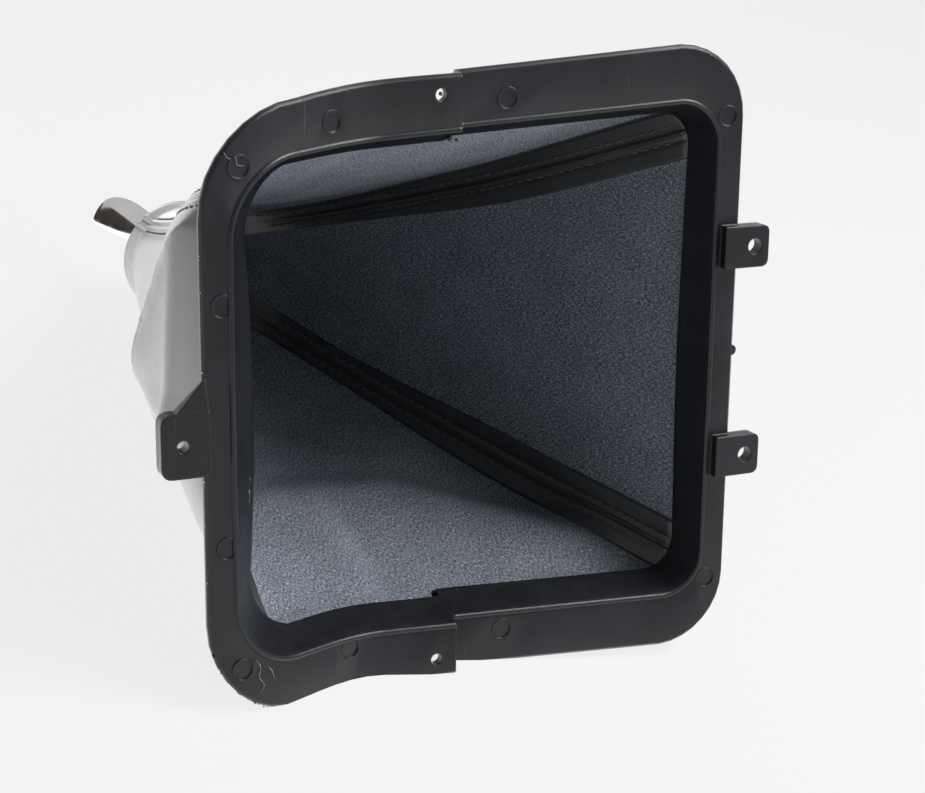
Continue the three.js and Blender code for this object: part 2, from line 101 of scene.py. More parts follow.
def undersideZ(x):
    step = np.clip((rail["stepX"] + rail["stepRun"] - x) / rail["stepRun"], 0, 1)
    return -rail["stepDrop"] * step + dip(x)


def hemZ(x):
    climb = (rail["stepX"] - sleeve["hemLead"] - x) / sleeve["hemStepRun"]
    return -rail["stepDrop"] * ease(climb) + dip(x)


def outerY(x):
    bend = rail["outerTaper"] * x - rail["outerTaperCurve"] * x * x
    return rail["outerHalfWidth"] + (rail["outerFlare"] * x if x > 0 else bend)


def lipY(x):
    return rail["lipHalfWidth"] + rail["lipFlare"] * x


# Stations around the frame: a point on the outer edge, one on the lip, and how far it
# belongs to the single-tab end. The moulding was drawn with these counts; fine multiplies them.
stations = {"corner": 8, "end": 6, "beforeStep": 9, "afterStep": 4,
            "moulded": 2, "leather": 8}


def frameStations(fine):
    outer, lip, narrow = [], [], []

    def add(outerPoint, lipPoint, share):
        outer.append(outerPoint)
        lip.append(lipPoint)
        narrow.append(share)

    def corner(cornerX, endX, lipEndX, side, start):
        radius, lipRadius = abs(endX - cornerX), abs(lipEndX - cornerX)
        parts = stations["corner"] * fine
        for i in range(1, parts):
            a = math.radians(start + 90 * i / parts)
            add((cornerX + radius * math.cos(a),
                 side * (outerY(cornerX) - radius) + radius * math.sin(a)),
                (cornerX + lipRadius * math.cos(a),
                 side * (lipY(cornerX) - lipRadius) + lipRadius * math.sin(a)),
                abs(math.cos(a)) if endX < 0 else 0)

    def endRail(cornerX, endX, lipEndX, sign):
        outerReach = outerY(cornerX) - abs(endX - cornerX)
        lipReach = lipY(cornerX) - abs(lipEndX - cornerX)
        parts = stations["end"] * fine
        for i in range(parts + 1):
            share = sign * (2 * i / parts - 1)
            add((endX, share * outerReach), (lipEndX, share * lipReach), 1 if endX < 0 else 0)

    def longRail(sign):
        xs = list(np.linspace(narrowCornerX, rail["stepX"], stations["beforeStep"] * fine,
                              endpoint=False))
        xs.append(rail["stepX"])
        xs += list(np.linspace(rail["stepX"] + rail["stepRun"], wideCornerX,
                               stations["afterStep"] * fine + 1))
        for x in (reversed(xs) if sign > 0 else xs):
            add((x, sign * outerY(x)), (x, sign * lipY(x)), 0)

    wide = (wideCornerX, rail["wideEndX"], rail["lipWideX"])
    tight = (narrowCornerX, rail["narrowEndX"], rail["lipNarrowX"])
    endRail(*wide, 1)
    corner(*wide, 1, 0)
    longRail(1)
    corner(*tight, 1, 90)
    endRail(*tight, -1)
    corner(*tight, -1, 180)
    longRail(-1)
    corner(*wide, -1, 270)
    return np.array(outer), np.array(lip), np.array(narrow, float)


outerLine, lipLine, narrowShare = frameStations(stations["leather"])
legs = len(lipLine)


# The seams stand at the middle of the four corners, where the frame's own stations put them
def seamPlaces():
    coarse = frameStations(stations["moulded"])[1]
    lipRadius = abs(rail["lipNarrowX"] - narrowCornerX)
    places = []
    for angle in (45, 135, 225, 315):
        cornerX = narrowCornerX if 90 < angle < 270 else wideCornerX
        side = 1 if angle < 180 else -1
        centreY = side * (lipY(cornerX) - lipRadius)
        turned = np.degrees(np.arctan2(coarse[:, 1] - centreY, coarse[:, 0] - cornerX))
        off = np.abs((turned - angle + 540) % 360 - 180)
        outside = (coarse[:, 0] - cornerX) * np.sign(cornerX) > 0
        off[~(outside & (coarse[:, 1] * side > 0))] = 360
        seam = coarse[np.argmin(off)]
        places.append(int(np.argmin(np.hypot(*(lipLine - seam).T))))
    return places


seams = seamPlaces()


def neckAngles():
    angles = np.zeros(legs)
    for q, start in enumerate(seams):
        span = (seams[(q + 1) % 4] - start) % legs
        run = [(start + i) % legs for i in range(span + 1)]
        steps = np.hypot(*np.diff(lipLine[run], axis=0).T)
        lengths = np.concatenate([[0], np.cumsum(steps)])
        for i in range(span):
            angles[run[i]] = 45 + 90 * q + 90 * lengths[i] / lengths[-1]
    return np.radians(angles)


neckTurn = neckAngles()


def smoothCurve(xs, ys, x):
    xs, ys = np.array(xs, float), np.array(ys, float)
    slopes = np.diff(ys) / np.diff(xs)
    tangents = np.concatenate([[slopes[0]], (slopes[1:] + slopes[:-1]) / 2, [slopes[-1]]])
    i = np.clip(np.searchsorted(xs, x) - 1, 0, len(xs) - 2)
    width = xs[i + 1] - xs[i]
    p = (x - xs[i]) / width
    return ((2 * p**3 - 3 * p**2 + 1) * ys[i] + (p**3 - 2 * p**2 + p) * width * tangents[i]
            + (3 * p**2 - 2 * p**3) * ys[i + 1] + (p**3 - p**2) * width * tangents[i + 1])


railWidth = np.hypot(*(outerLine - lipLine).T)
railOut = (outerLine - lipLine) / railWidth[:, None]
wallTopLean = rail["wallLean"] + (rail["narrowWallLean"] - rail["wallLean"]) * narrowShare


def aboveHem(outward, height):
    flat = lipLine + railOut * np.broadcast_to(outward, legs)[:, None]
    return np.column_stack([flat, hemZ(flat[:, 0]) + height])


# Soft creases of the limp leather, beyond the main bulges. Depths and places across the
# single-tab end are in mm, heights are shares of the sleeve, turns are radians about the neck.
creases = {
    "ridge": {"depth": 2.8, "width": 0.045, "height": 0.07, "rise": 0.0062, "y": -38.0,
              "from": -46.0, "fadeIn": 10.0, "to": 8.0, "fadeOut": 14.0},
    "low": {"depth": 1.5, "width": 0.035, "height": 0.08, "rise": 0.0022, "y": -30.0,
            "from": -46.0, "fadeIn": 14.0, "to": 30.0, "fadeOut": 26.0},
    "upright": 1.3, "uprightTurn": 2.92, "uprightLean": 0.5, "uprightWidth": 0.1,
    "uprightFadeIn": 0.1, "uprightTo": 0.5, "uprightFadeOut": 0.3,
    "ripple": 0.4, "rippleTurns": 3, "rippleClimb": 9, "rippleRise": 7.3, "rippleSway": 2,
    "slump": 0.7, "slumpTurns": 5, "slumpClimb": 6, "slumpTurn": 4.2, "slumpAt": 0.55,
    "slumpSpread": 0.25,
    "shelf": 4.5, "shelfAt": 0.33, "shelfFall": 0.19, "shelfRun": 50.0, "shelfBack": 0.13,
    "shelfSide": 0.62, "shelfFade": 0.3,
}


def foldLine(fold, y, v):
    height = fold["height"] + fold["rise"] * (y - fold["y"])
    return (fold["depth"] * np.exp(-np.abs(v - height) / fold["width"])
            * ease((y - fold["from"]) / fold["fadeIn"])
            * ease((fold["to"] - y) / fold["fadeOut"]))


def creaseDepth(row, turn, v):
    x, y = row[:, 0], row[:, 1]
    onNarrow = np.clip(-np.cos(turn), 0, 1)
    depth = (foldLine(creases["ridge"], y, v) + foldLine(creases["low"], y, v)) * onNarrow
    aside = np.abs(turn - creases["uprightTurn"] - creases["uprightLean"] * v)
    depth = depth + (creases["upright"] * np.exp(-aside / creases["uprightWidth"])
                     * ease(v / creases["uprightFadeIn"])
                     * ease((creases["uprightTo"] - v) / creases["uprightFadeOut"]))
    ripple = (np.sin(creases["rippleTurns"] * turn + creases["rippleClimb"] * v)
              * np.sin(creases["rippleRise"] * v + creases["rippleSway"] * np.sin(2 * turn)))
    slump = (np.sin(creases["slumpTurns"] * turn - creases["slumpTurn"]
                    + creases["slumpClimb"] * v)
             * np.exp(-((v - creases["slumpAt"]) / creases["slumpSpread"])**2))
    crest = creases["shelfAt"] - creases["shelfFall"] * ease(x / creases["shelfRun"])
    shelf = np.where(v < crest, ease(v / crest), ease(1 - (v - crest) / creases["shelfBack"]))
    onLeft = ease((np.sin(turn) - creases["shelfSide"]) / creases["shelfFade"])
    depth = depth - creases["shelf"] * shelf * onLeft
    held = np.sin(math.pi * np.clip(v, 0, 1))
    return depth + (creases["ripple"] * ripple + creases["slump"] * slump) * held


def middleRow(level):
    slope = np.arctan2(
        wallTopLean + rail["wallFoot"] - rail["wallThickness"],
        rail["wallHeight"] - rail["flangeThickness"] - rail["wallFootRound"])
    leatherGap = sleeve["thickness"] / 2 + sleeve["wallGap"]
    top = aboveHem(rail["wallThickness"] - wallTopLean + leatherGap / np.cos(slope),
                   rail["wallHeight"] + sleeve["glueGap"])
    if level < 0:
        def onWall(reach, height):
            risen = (height - rail["flangeThickness"]) / rail["wallHeight"]
            return aboveHem(reach - (wallTopLean - rail["wallLean"]) * risen, height)
        low = onWall(sleeve["hemReach"], rail["flangeThickness"] + sleeve["hemLift"])
        bend = onWall(sleeve["hemBendReach"], sleeve["hemBendHeight"])
        if level < -1:
            return low + (bend - low) * (level + 2)
        return bend + (top - bend) * (level + 1)
    radius = sleeve["neckRadius"] - sleeve["thickness"] / 2
    for amount, toward in ((sleeve["neckPuff"], sleeve["puffToward"]),
                           (-sleeve["neckPinch"], sleeve["pinchToward"])):
        radius = radius + amount * ease(0.5 + 0.5 * np.cos(neckTurn - math.radians(toward)))
    neck = np.column_stack([
        sleeve["neckX"] + radius * np.cos(neckTurn),
        radius * np.sin(neckTurn),
        np.full(legs, sleeve["neckZ"] - sleeve["neckBand"])])
    if level > 1:
        neck[:, 2] += sleeve["neckBand"] * (level - 1)
        return neck
    row = top + (neck - top) * level
    cosine, sine = np.cos(neckTurn), np.sin(neckTurn)
    back = np.clip(-cosine, 0, 1)
    narrowFace = np.where(sine < 0, back**sleeve["highSideFade"], back**sleeve["lowSideFade"])
    high = np.clip(-sine, 0, 1)
    leaned = level ** (1 - sleeve["highSideLean"] * high)
    shares = smoothCurve(sleeve["bulgeHeights"], sleeve["bulgeShares"], leaned)
    rounding = math.sin(math.pi * level)
    row[:, 0] -= sleeve["narrowBulge"] * narrowFace * shares
    row[:, 0] -= sleeve["wideSag"] * np.clip(cosine, 0, 1)**sleeve["wideFade"] * rounding
    row[:, 1] += (sleeve["lowSideBulge"] * np.clip(sine, 0, 1)**sleeve["lowFade"]
                  + sleeve["highSideSag"] * high) * rounding
    return row


# Rows of the sleeve: -2 at the hem, 0 at the top of the wall, 1 below the neck, 2 at its edge
sleeveRows = ((-2, -1, 3), (-1, 0, 4), (0, 0.2, 22), (0.2, 1, 74))
neckRows = 7
levels = np.concatenate([np.linspace(low, high, count, endpoint=False)
                         for low, high, count in sleeveRows] + [np.linspace(1, 2, neckRows)])
middleGrid = np.array([middleRow(level) for level in levels])


def outwardOf(grid):
    around = np.roll(grid, -1, 1) - np.roll(grid, 1, 1)
    up = np.gradient(grid, axis=0)
    out = np.cross(around, up)
    return out / np.linalg.norm(out, axis=2, keepdims=True)


outwardGrid = outwardOf(middleGrid)
depths = np.array([
    creaseDepth(row, neckTurn, level) if 0 < level < 1 else np.zeros(legs)
    for row, level in zip(middleGrid, levels)])
middleGrid = middleGrid + outwardGrid * depths[:, :, None]
outwardGrid = outwardOf(middleGrid)
print("sleeve worked out:", legs, "stations,", len(levels), "rows")


# Materials
def newMaterial(name):
    material = bpy.data.materials.new(name)
    material.use_nodes = True
    nodes = material.node_tree.nodes
    return material, nodes, material.node_tree.links, nodes["Principled BSDF"]


def addNode(nodes, kind, settings=(), **sockets):
    made = nodes.new(kind)
    for key, value in dict(settings).items():
        setattr(made, key, value)
    for key, value in sockets.items():
        made.inputs[key].default_value = value
    return made


def objectPlace(nodes):
    return addNode(nodes, "ShaderNodeTexCoord").outputs["Object"]


def calc(nodes, links, operation, *values):
    made = addNode(nodes, "ShaderNodeMath", {"operation": operation})
    for slot, value in enumerate(values):
        if isinstance(value, float):
            made.inputs[slot].default_value = value
        else:
            links.new(value, made.inputs[slot])
    return made.outputs[0]


def stretched(nodes, links, source, scale):
    mapping = addNode(nodes, "ShaderNodeMapping")
    mapping.inputs["Scale"].default_value = scale
    links.new(source, mapping.inputs["Vector"])
    return mapping.outputs["Vector"]


def noise(nodes, links, vector, scale, detail=3.0, roughness=0.55):
    made = addNode(nodes, "ShaderNodeTexNoise", Scale=scale, Detail=detail, Roughness=roughness)
    links.new(vector, made.inputs["Vector"])
    return made.outputs["Fac"]


def ramp(nodes, links, source, stops):
    made = addNode(nodes, "ShaderNodeValToRGB")
    made.color_ramp.elements[0].position, made.color_ramp.elements[0].color = stops[0]
    made.color_ramp.elements[1].position, made.color_ramp.elements[1].color = stops[-1]
    for place, colour in stops[1:-1]:
        made.color_ramp.elements.new(place).color = colour
    links.new(source, made.inputs["Fac"])
    return made.outputs["Color"]


def spread(nodes, links, source, low, high, fromLow=0.3, fromHigh=0.7):
    made = addNode(nodes, "ShaderNodeMapRange")
    for key, value in (("From Min", fromLow), ("From Max", fromHigh),
                       ("To Min", low), ("To Max", high)):
        made.inputs[key].default_value = value
    links.new(source, made.inputs["Value"])
    return made.outputs["Result"]


def mixColours(nodes, links, share, first, second):
    made = addNode(nodes, "ShaderNodeMix", {"data_type": "RGBA"})
    links.new(share, made.inputs["Factor"])
    for key, value in (("A", first), ("B", second)):
        socket = [s for s in made.inputs if s.name == key and s.type == "RGBA"][0]
        if isinstance(value, tuple):
            socket.default_value = value
        else:
            links.new(value, socket)
    return [s for s in made.outputs if s.type == "RGBA"][0]


def bumps(nodes, links, shader, layers, normal=None):
    for height, depth, strength in layers:
        made = addNode(nodes, "ShaderNodeBump", Distance=depth, Strength=strength)
        links.new(height, made.inputs["Height"])
        if normal:
            links.new(normal, made.inputs["Normal"])
        normal = made.outputs["Normal"]
    links.new(normal, shader.inputs["Normal"])


def grey(level, tint=(1.0, 1.0, 1.0)):
    return tuple(level * t for t in tint) + (1.0,)


plasticLook = {
    "dark": 0.005, "pale": 0.009, "tint": (0.9, 1.0, 1.25), "roughness": (0.27, 0.4),
    "scuff": 0.075, "gloss": 0.31, "edgeRound": 0.0007, "grainSize": 900, "grain": 0.00006,
    "broadSize": 45, "flowSize": 260, "scratchSize": 1500,
}


def makePlastic():
    look = plasticLook
    material, nodes, links, shader = newMaterial("satinPlastic")
    place = objectPlace(nodes)
    broad = noise(nodes, links, place, look["broadSize"], 4)
    flow = noise(nodes, links, stretched(nodes, links, place, (1, 0.25, 1)),
                 look["flowSize"], 5, 0.65)
    grain = noise(nodes, links, place, look["grainSize"], 2)
    scratch = noise(nodes, links, stretched(nodes, links, place, (1.0, 0.05, 1.0)),
                    look["scratchSize"], 2, 0.5)
    base = ramp(nodes, links, broad, [
        (0.3, grey(look["dark"], look["tint"])), (0.7, grey(look["pale"], look["tint"]))])
    patchy = calc(nodes, links, "MULTIPLY", spread(nodes, links, scratch, 0.0, 0.8, 0.68, 0.8),
                  spread(nodes, links, flow, 0.0, 1.0, 0.5, 0.7))
    colour = mixColours(nodes, links, patchy, base, grey(look["scuff"]))
    links.new(colour, shader.inputs["Base Color"])
    links.new(spread(nodes, links, flow, *look["roughness"]), shader.inputs["Roughness"])
    shader.inputs["Specular IOR Level"].default_value = look["gloss"]
    arris = addNode(nodes, "ShaderNodeBevel", {"samples": 6}, Radius=look["edgeRound"])
    bumps(nodes, links, shader, [(broad, 0.0004, 0.3), (grain, look["grain"], 0.35),
                                 (scratch, 0.00003, 0.2)], arris.outputs["Normal"])
    return material


leatherLook = {
    "dark": 0.012, "pale": 0.02, "tint": (0.94, 0.98, 1.06), "roughness": (0.3, 0.4),
    "gloss": 0.9, "haze": 0.45, "hazeRoughness": 0.35, "coat": 0.85, "coatRoughness": 0.32,
    "grainSize": 1300, "grain": 0.00005, "broadSize": 60, "fineSize": 600,
}
foldedLook = dict(leatherLook, dark=0.01, pale=0.02, roughness=(0.38, 0.5), gloss=0.6,
                  haze=0.2, coat=0.0)


def makeLeather(name, look):
    material, nodes, links, shader = newMaterial(name)
    place = objectPlace(nodes)
    cells = addNode(nodes, "ShaderNodeTexVoronoi", {"feature": "SMOOTH_F1"},
                    Scale=look["grainSize"], Randomness=1.0)
    links.new(place, cells.inputs["Vector"])
    broad = noise(nodes, links, place, look["broadSize"], 4)
    fine = noise(nodes, links, place, look["fineSize"], 3)
    base = ramp(nodes, links, broad, [
        (0.3, grey(look["dark"], look["tint"])), (0.7, grey(look["pale"], look["tint"]))])
    links.new(base, shader.inputs["Base Color"])
    links.new(spread(nodes, links, fine, *look["roughness"]), shader.inputs["Roughness"])
    shader.inputs["Specular IOR Level"].default_value = look["gloss"]
    shader.inputs["Sheen Weight"].default_value = look["haze"]
    shader.inputs["Sheen Roughness"].default_value = look["hazeRoughness"]
    shader.inputs["Coat Weight"].default_value = look["coat"]
    shader.inputs["Coat Roughness"].default_value = look["coatRoughness"]
    bumps(nodes, links, shader, [(broad, 0.0005, 0.2),
                                 (cells.outputs["Distance"], look["grain"], 0.3)])
    return material


knitLook = {
    "dark": (0.026, 0.031, 0.041, 1), "middle": (0.12, 0.135, 0.16, 1),
    "pale": (0.4, 0.43, 0.48, 1), "fleckSize": 3300, "loopDepth": 0.00026,
    "broadSize": 90, "shade": 0.012,
}


def makeKnit():
    look = knitLook
    material, nodes, links, shader = newMaterial("knitBacking")
    cloth = addNode(nodes, "ShaderNodeUVMap", {"uv_map": "cloth"}).outputs["UV"]
    across = noise(nodes, links, stretched(nodes, links, cloth, (0.42, 1.25, 1)),
                   look["fleckSize"], 2, 0.6)
    upward = noise(nodes, links, stretched(nodes, links, cloth, (1.3, 0.3, 1)),
                   look["fleckSize"], 2, 0.6)
    broad = noise(nodes, links, cloth, look["broadSize"], 3)
    flecks = calc(nodes, links, "MULTIPLY", calc(nodes, links, "ADD", across, upward), 0.5)
    shaded = calc(nodes, links, "ADD", flecks,
                  spread(nodes, links, broad, -look["shade"], look["shade"]))
    colour = ramp(nodes, links, shaded, [
        (0.38, look["dark"]), (0.5, look["middle"]), (0.64, look["pale"])])
    links.new(colour, shader.inputs["Base Color"])
    shader.inputs["Roughness"].default_value = 0.95
    shader.inputs["Specular IOR Level"].default_value = 0.0
    bumps(nodes, links, shader, [(shaded, look["loopDepth"], 0.8)])
    return material


# Thread and lint: matt, with soft flecks
threadLook = {"dark": 0.03, "pale": 0.11, "from": 0.35, "to": 0.65, "size": 3500,
              "stretch": (1, 1, 0.4), "roughness": 0.6, "relief": 0.6}
lintLook = {"dark": 0.16, "pale": 0.42, "from": 0.3, "to": 0.7, "size": 900,
            "stretch": (1, 1, 1), "roughness": 0.8, "relief": 0.4}


def makeStrand(name, look):
    material, nodes, links, shader = newMaterial(name)
    tone = noise(nodes, links, stretched(nodes, links, objectPlace(nodes), look["stretch"]),
                 look["size"], 2)
    links.new(ramp(nodes, links, tone, [
        (look["from"], grey(look["dark"])), (look["to"], grey(look["pale"]))]),
        shader.inputs["Base Color"])
    shader.inputs["Roughness"].default_value = look["roughness"]
    bumps(nodes, links, shader, [(tone, 0.0001, look["relief"])])
    return material


platingLook = {"dark": 0.74, "pale": 0.86, "smearSize": 140, "roughness": (0.03, 0.12)}


def makePlating():
    material, nodes, links, shader = newMaterial("polishedPlating")
    smear = noise(nodes, links, objectPlace(nodes), platingLook["smearSize"], 4)
    shader.inputs["Metallic"].default_value = 1.0
    links.new(ramp(nodes, links, smear, [
        (0.3, grey(platingLook["dark"])), (0.7, grey(platingLook["pale"]))]),
        shader.inputs["Base Color"])
    links.new(spread(nodes, links, smear, *platingLook["roughness"]), shader.inputs["Roughness"])
    bumps(nodes, links, shader, [(smear, 0.0001, 0.1)])
    return material


satinPlastic = makePlastic()
coatedLeather = makeLeather("coatedLeather", leatherLook)
foldedLeather = makeLeather("foldedLeather", foldedLook)
knitBacking = makeKnit()
blackThread = makeStrand("blackThread", threadLook)
polishedPlating = makePlating()
paleLint = makeStrand("paleLint", lintLook)
print("materials made")


# Mesh pieces
def placed(name, data):
    made = bpy.data.objects.new(name, data)
    bpy.context.scene.collection.objects.link(made)
    return made


def meshPiece(name, points, faces, materials, faceMaterials=None, smooth=True):
    mesh = bpy.data.meshes.new(name)
    mesh.from_pydata([tuple(p) for p in toRow(points)], [], faces)
    for material in materials:
        mesh.materials.append(material)
    if faceMaterials is not None:
        mesh.polygons.foreach_set("material_index", faceMaterials)
    mesh.polygons.foreach_set("use_smooth", [smooth] * len(mesh.polygons))
    mesh.update()
    piece = placed(name, mesh)
    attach(piece, "root")
    return piece


# Faces of a tube made of rings of points: a closed one joins up, an open one gets two caps
def tubeFaces(base, rings, sides, closed):
    faces = []
    for i in range(rings if closed else rings - 1):
        here, after = base + i * sides, base + (i + 1) % rings * sides
        for q in range(sides):
            over = (q + 1) % sides
            if closed:
                faces.append((here + q, after + q, after + over, here + over))
            else:
                faces.append((here + q, here + over, after + over, after + q))
    if not closed:
        faces.append(tuple(base + q for q in range(sides))[::-1])
        faces.append(tuple(base + (rings - 1) * sides + q for q in range(sides)))
    return faces


# One panel: rows of points measured out from seam to seam, so that every row keeps its
# stitch lines at one distance from the seam. Lengths in mm; the columns of points near a seam
# stand at fixed distances up to the stitches, then at shares of the allowance, then past it.
seamEdge = {
    "outerRound": 0.4, "roundWidth": 1.2, "pillow": 0.14,
    "stitchFrom": 2.4, "stitchDip": 0.26, "stitchWidth": 0.45,
    "innerRidge": 0.9, "innerRidgeWidth": 0.7, "foldEdge": 0.4,
    "stitched": (0.0, 0.2, 0.45, 0.8, 1.2, 1.7, 2.1, 2.4, 2.7, 3.2),
    "folded": (0.26, 0.63, 0.9, 1.0), "beyond": (0.13, 0.4, 0.9), "middleColumns": 46,
}
foldColumns = len(seamEdge["stitched"] + seamEdge["folded"]) + 1
coated, knit, folded = 0, 1, 2  # the leather's sides, in the order of its materials


def rowPoints(row, start, span, distances):
    run = [(start + i) % legs for i in range(span + 1)]
    line, facing = middleGrid[row][run], outwardGrid[row][run]
    lengths = np.concatenate([[0], np.cumsum(np.linalg.norm(np.diff(line, axis=0), axis=1))])
    at = distances(lengths[-1])
    points = np.column_stack([np.interp(at, lengths, line[:, k]) for k in range(3)])
    outward = np.column_stack([np.interp(at, lengths, facing[:, k]) for k in range(3)])
    outward /= np.linalg.norm(outward, axis=1, keepdims=True)
    return points, outward, at, lengths[-1]


def allowanceAt(level):
    narrowing = ease((level - sleeve["narrowingFrom"]) / sleeve["narrowingRun"])
    return sleeve["allowance"] + (sleeve["narrowAllowance"] - sleeve["allowance"]) * narrowing


def panelDistances(total, level):
    stitched = np.array(seamEdge["stitched"])
    folded = stitched[-1] + (allowanceAt(level) - stitched[-1]) * np.array(seamEdge["folded"])
    beyond = allowanceAt(level) + np.array(seamEdge["beyond"])
    near = np.concatenate([stitched, folded, beyond])
    inner = np.linspace(near[-1], total - near[-1], seamEdge["middleColumns"] + 2)[1:-1]
    return np.concatenate([near, inner, total - near[::-1]])


def fromSeam(at, total):
    return np.minimum(at, total - at)


def stitchDimple(gap):
    away = (gap - seamEdge["stitchFrom"]) / seamEdge["stitchWidth"]
    return seamEdge["stitchDip"] * np.exp(-away**2)


def outerSkin(gap):
    roll = seamEdge["outerRound"] * np.clip(1 - gap / seamEdge["roundWidth"], 0, 1)**2
    pillow = seamEdge["pillow"] * np.sin(math.pi * np.clip(gap / seamEdge["stitchFrom"], 0, 1))
    return sleeve["thickness"] / 2 - roll + pillow - stitchDimple(gap)


def innerSkin(gap, level):
    fold = 1 - ease((gap - allowanceAt(level)) / seamEdge["foldEdge"])
    fade = (sleeve["allowanceTop"] - level) / (sleeve["allowanceTop"] - sleeve["allowanceFade"])
    fold = fold * float(level > 0) * ease(fade)
    ridge = seamEdge["innerRidge"] * np.exp(-(gap / seamEdge["innerRidgeWidth"])**2)
    turned = (sleeve["allowanceThickness"] + ridge - stitchDimple(gap)) * fold
    return -sleeve["thickness"] / 2 - turned


def makePanel(name, quarter):
    start, end = seams[quarter], seams[(quarter + 1) % 4]
    span = (end - start) % legs
    outer, inner, cloth = [], [], []
    climb = np.concatenate([[0], np.cumsum(np.linalg.norm(
        np.diff(middleGrid[:, (start + span // 2) % legs], axis=0), axis=1))])
    flatArea, lastWidth = 0.0, None
    for row, level in enumerate(levels):
        def spacing(length):
            return panelDistances(length, level)
        points, outward, at, total = rowPoints(row, start, span, spacing)
        gap = fromSeam(at, total)
        outer.append(points + outward * outerSkin(gap)[:, None])
        inner.append(points + outward * innerSkin(gap, level)[:, None])
        cloth.append(np.column_stack([(at - total / 2) * mm, np.full(len(at), climb[row] * mm)]))
        if lastWidth:
            flatArea += (total + lastWidth) / 2 * (climb[row] - climb[row - 1])
        lastWidth = total
    rows, across = len(levels), len(outer[0])
    half = rows * across
    faces, kinds = [], []
    for i in range(rows - 1):
        for j in range(across - 1):
            a = i * across + j
            faces.append((a, a + 1, a + across + 1, a + across))
            kinds.append(coated)
            faces.append((half + a, half + a + across, half + a + across + 1, half + a + 1))
            column = min(j, across - 2 - j)
            kinds.append(folded if column < foldColumns else knit)
    for j in range(across - 1):
        top = (rows - 1) * across + j
        faces += [(j, half + j, half + j + 1, j + 1), (top, top + 1, half + top + 1, half + top)]
        kinds += [coated, coated]
    for i in range(rows - 1):
        left, right = i * across, i * across + across - 1
        faces += [(left, left + across, half + left + across, half + left),
                  (right, half + right, half + right + across, right + across)]
        kinds += [coated, coated]
    piece = meshPiece(name, np.concatenate(outer + inner), faces,
                      [coatedLeather, knitBacking, foldedLeather], kinds)
    layer = piece.data.uv_layers.new(name="cloth")
    flat = np.concatenate(cloth + cloth)
    corners = np.zeros(len(piece.data.loops), np.int32)
    piece.data.loops.foreach_get("vertex_index", corners)
    layer.data.foreach_set("uv", flat[corners].ravel())
    widths = [c[-1, 0] - c[0, 0] for c in cloth]
    return piece, (max(widths), climb[-1] * mm), flatArea * mm * mm


panelNames = ["sleeve_panel_left", "sleeve_panel_single_tab_end",
              "sleeve_panel_right", "sleeve_panel_two_tab_end"]
panels = []
for quarter, node in enumerate(panelNames):
    piece, flat, area = makePanel(node.replace("sleeve_", "leather_"), quarter)
    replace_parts(piece, node)
    panels.append(piece)
    print(node, "flat", [round(s, 4) for s in flat], "area", round(area, 5))


# Topstitching: rows of short thread stitches on both faces, each side of every seam. Lengths
# in mm, rings as shares of a stitch; a stitch arches up and its two ends sink into the leather.
stitching = {
    "length": 2.0, "pitch": 3.3, "lead": 0.12, "radius": 0.27, "arch": 0.2, "sides": 6,
    "rings": (0, 0.08, 0.25, 0.5, 0.75, 0.92, 1), "sunk": 0.12, "endTaper": 0.12, "fullness": 0.4,
    "from": 0.035, "to": 0.985, "insideTo": 0.92,
}


def stitchLine(quarter, nearStart, inside):
    start, end = seams[quarter], seams[(quarter + 1) % 4]
    span = (end - start) % legs
    line, facing = [], []
    last = stitching["insideTo"] if inside else stitching["to"]
    for row, level in enumerate(levels):
        if not stitching["from"] <= level <= last:
            continue
        gap = seamEdge["stitchFrom"]

        def place(length):
            return np.array([gap if nearStart else length - gap])
        points, outward = rowPoints(row, start, span, place)[:2]
        skin = innerSkin(gap, level) if inside else outerSkin(gap)
        line.append(points[0] + outward[0] * skin)
        facing.append(outward[0] * (-1 if inside else 1))
    return np.array(line), np.array(facing)


def makeStitches(name, lines):
    points, faces = [], []
    sides = stitching["sides"]
    rings = np.array(stitching["rings"])
    ends = (rings == 0) | (rings == 1)
    rise = stitching["arch"] * np.sin(math.pi * rings) - stitching["sunk"] * ends
    taper = stitching["endTaper"] + (1 - 2 * stitching["endTaper"]) * rings
    thick = stitching["radius"] * np.sin(math.pi * taper)**stitching["fullness"]
    for line, facing in lines:
        run = np.concatenate([[0], np.cumsum(np.linalg.norm(np.diff(line, axis=0), axis=1))])
        for k in range(int(run[-1] / stitching["pitch"])):
            at = stitching["pitch"] * (k + stitching["lead"]) + stitching["length"] * rings
            centre = np.column_stack([np.interp(at, run, line[:, c]) for c in range(3)])
            up = np.column_stack([np.interp(at, run, facing[:, c]) for c in range(3)])
            ahead = centre[-1] - centre[0]
            ahead /= np.linalg.norm(ahead)
            side = np.cross(ahead, up)
            side /= np.linalg.norm(side, axis=1, keepdims=True)
            base = len(points)
            for c, u, s, r, t in zip(centre, up, side, rise, thick):
                for q in range(sides):
                    a = 2 * math.pi * q / sides
                    points.append(c + u * (r + t * math.sin(a)) + s * t * math.cos(a))
            faces += tubeFaces(base, len(rings), sides, False)
    return meshPiece(name, np.array(points), faces, [blackThread])


for quarter in range(4):
    before = (quarter - 1) % 4
    rows = [stitchLine(quarter, True, inside) for inside in (False, True)]
    rows += [stitchLine(before, False, inside) for inside in (False, True)]
    makeStitches("topstitching_" + "abcd"[quarter], rows)
print("stitches sewn")


